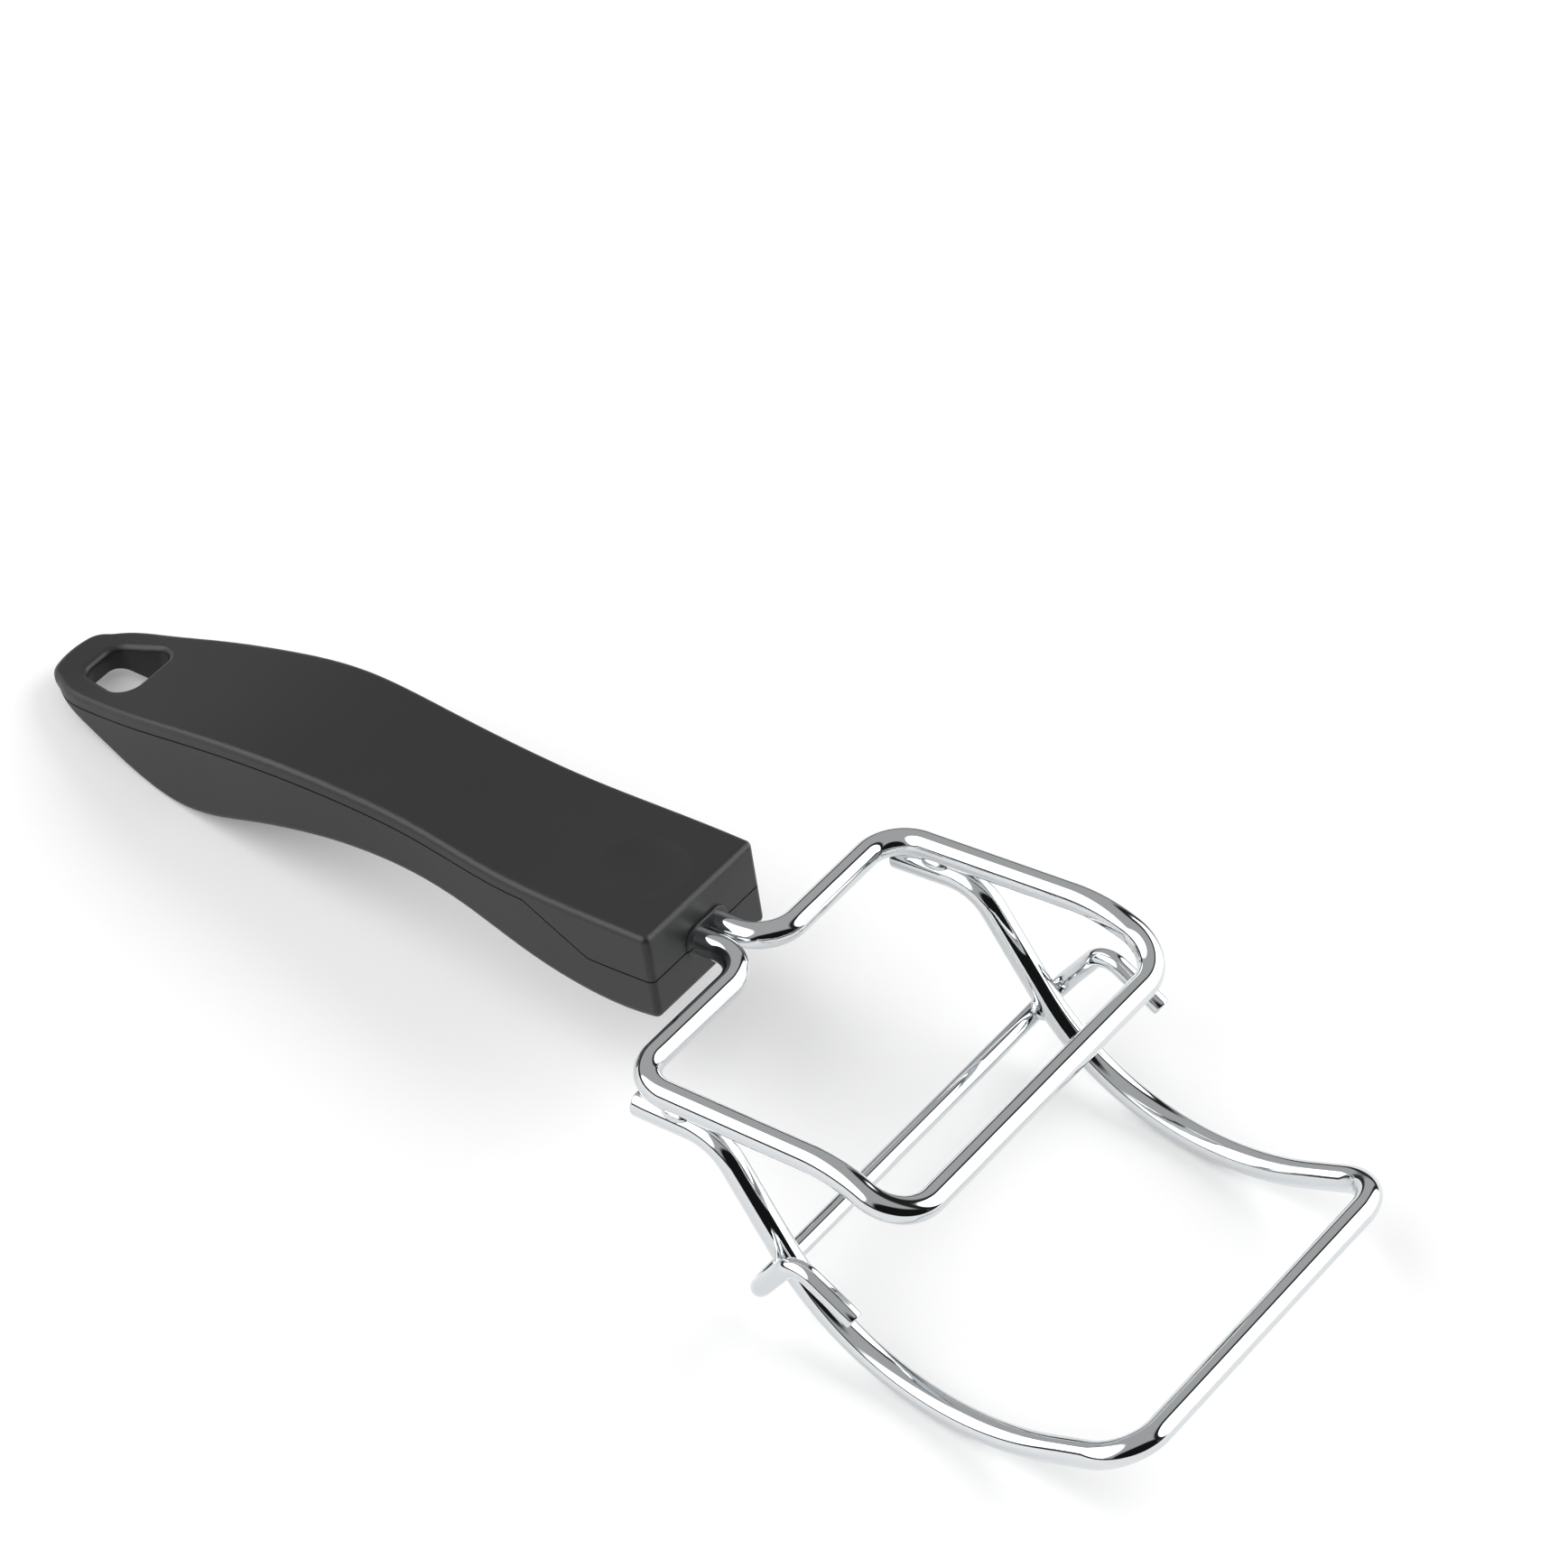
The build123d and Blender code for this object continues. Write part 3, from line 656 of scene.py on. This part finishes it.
def studio_world(world, studio):
    """Grey room with two large white soft boxes, a dark corner, and a dark line along the horizon.
    It lights the tool, and behind the table the view itself is plain white."""
    world.use_nodes = True
    tree = world.node_tree
    tree.nodes.clear()
    place = add_node(tree, "ShaderNodeTexCoord")
    normal = add_node(tree, "ShaderNodeVectorMath", {0: place.outputs["Generated"]}, operation="NORMALIZE")
    direction = normal.outputs[0]
    walls = add_node(tree, "ShaderNodeValue")
    walls.outputs[0].default_value = studio.room
    level = with_patch(tree, walls.outputs[0], direction, LEFT_BOX)
    level = with_horizon(tree, level, direction)
    for patch in (RIGHT_BOX_RIM, RIGHT_BOX, DARK_CORNER):
        level = with_patch(tree, level, direction, patch)
    lit = add_node(tree, "ShaderNodeBackground", {"Strength": level}, Color=WHITE)
    plain = add_node(tree, "ShaderNodeBackground", Color=WHITE, Strength=1.0)
    ray = add_node(tree, "ShaderNodeLightPath")
    both = add_node(tree, "ShaderNodeMixShader", {0: ray.outputs["Is Camera Ray"], 1: lit.outputs[0],
                                                  2: plain.outputs[0]})
    add_node(tree, "ShaderNodeOutputWorld", {"Surface": both.outputs[0]})


def acrylic_light_table(finish):
    """White acrylic sheet with a matt face, lit a little from below as on a product table."""
    glow = settings().studio.table_glow
    return new_material("acrylic_light_table", Roughness=0.8, Base_Color=linear(finish.table),
                        Emission_Color=WHITE, Emission_Strength=glow)[0]


def add_floor(scene):
    """Square table top, a quad from two parameters, each running over its width."""
    across = np.array([-TABLE_REACH, TABLE_REACH])
    x, y = np.meshgrid(across, across)
    points = np.stack([x, y, np.zeros_like(x)], axis=-1).reshape(-1, 3)
    mesh = bpy.data.meshes.new("floor")
    mesh.from_pydata(points.tolist(), [], [(0, 1, 3, 2)])
    floor = bpy.data.objects.new("floor", mesh)
    scene.collection.objects.link(floor)
    mesh.materials.append(named_material(acrylic_light_table))


def add_camera(scene, studio):
    """Camera on a line of its azimuth and elevation through its aim, leaning by its roll."""
    data = bpy.data.cameras.new("camera")
    data.lens = studio.lens
    data.sensor_width = SENSOR
    data.clip_start, data.clip_end = CLIP_NEAR, CLIP_FAR
    camera = bpy.data.objects.new("camera", data)
    scene.collection.objects.link(camera)
    back = direction_of(studio.azimuth - math.pi / 2, studio.elevation)
    level = back.to_track_quat("Z", "Y").to_matrix()
    camera.rotation_mode = "QUATERNION"
    camera.rotation_quaternion = (level @ Matrix.Rotation(studio.roll, 3, "Z")).to_quaternion()
    camera.location = Vector(studio.aim) + back * studio.distance
    scene.camera = camera


class BuildStage(bpy.types.Operator):
    """Pale table, soft room light and the camera"""
    bl_idname = "lifter.stage"
    bl_label = "Stage"

    def execute(self, context):
        scene = context.scene
        studio = settings().studio
        scene.world = bpy.data.worlds.new("studio")
        studio_world(scene.world, studio)
        add_floor(scene)
        add_camera(scene, studio)
        scene.view_settings.view_transform = "Standard"
        return {"FINISHED"}


# ---------------------------------------------------------------- the add-on
class JarLifter(bpy.types.PropertyGroup):
    """Everything about the jar lifter that a user may change."""
    stock: bpy.props.PointerProperty(name="Wire stock", type=WireStock)
    frame: bpy.props.PointerProperty(name="Frame", type=FrameSizes)
    bail: bpy.props.PointerProperty(name="Bail", type=BailSizes)
    bar: bpy.props.PointerProperty(name="Cross bar", type=BarSizes)
    weld: bpy.props.PointerProperty(name="Welds", type=WeldSizes)
    finish: bpy.props.PointerProperty(name="Finish", type=Finish)
    studio: bpy.props.PointerProperty(name="Studio", type=Studio)


OPERATORS = (BuildFrameWire, BuildBailWire, BuildCrossBar, BuildWelds, FinishHandle, FinishScrews,
             BuildStage)
GROUPS = ("stock", "frame", "bail", "bar", "weld", "finish", "studio")


class LifterPanel(bpy.types.Panel):
    """Lists the jar lifter's pieces and its stage"""
    bl_idname = "VIEW3D_PT_jar_lifter"
    bl_label = "Jar lifter"
    bl_space_type = "VIEW_3D"
    bl_region_type = "UI"
    bl_category = "Jar lifter"

    def draw(self, context):
        column = self.layout.column(align=True)
        for operator in OPERATORS:
            column.operator(operator.bl_idname)
        for group in [getattr(settings(), name) for name in GROUPS]:
            box = self.layout.box()
            for name in group.bl_rna.properties.keys():
                if name not in ("rna_type", "name"):
                    box.prop(group, name)


CLASSES = (WireStock, FrameSizes, BailSizes, BarSizes, WeldSizes, Finish, Studio, JarLifter,
           *OPERATORS, LifterPanel)


def register():
    """Registers every class, and puts the settings on the scene."""
    for cls in CLASSES:
        bpy.utils.register_class(cls)
    bpy.types.Scene.jar_lifter = bpy.props.PointerProperty(type=JarLifter)


def unregister():
    """Takes the settings off the scene, and unregisters every class."""
    del bpy.types.Scene.jar_lifter
    for cls in reversed(CLASSES):
        bpy.utils.unregister_class(cls)


def main():
    register()
    bpy.ops.lifter.frame_wire()
    bpy.ops.lifter.bail_wire()
    bpy.ops.lifter.cross_bar()
    bpy.ops.lifter.welds()
    bpy.ops.lifter.handle()
    bpy.ops.lifter.screws()
    bpy.ops.lifter.stage()


if __name__ == "__main__":
    main()
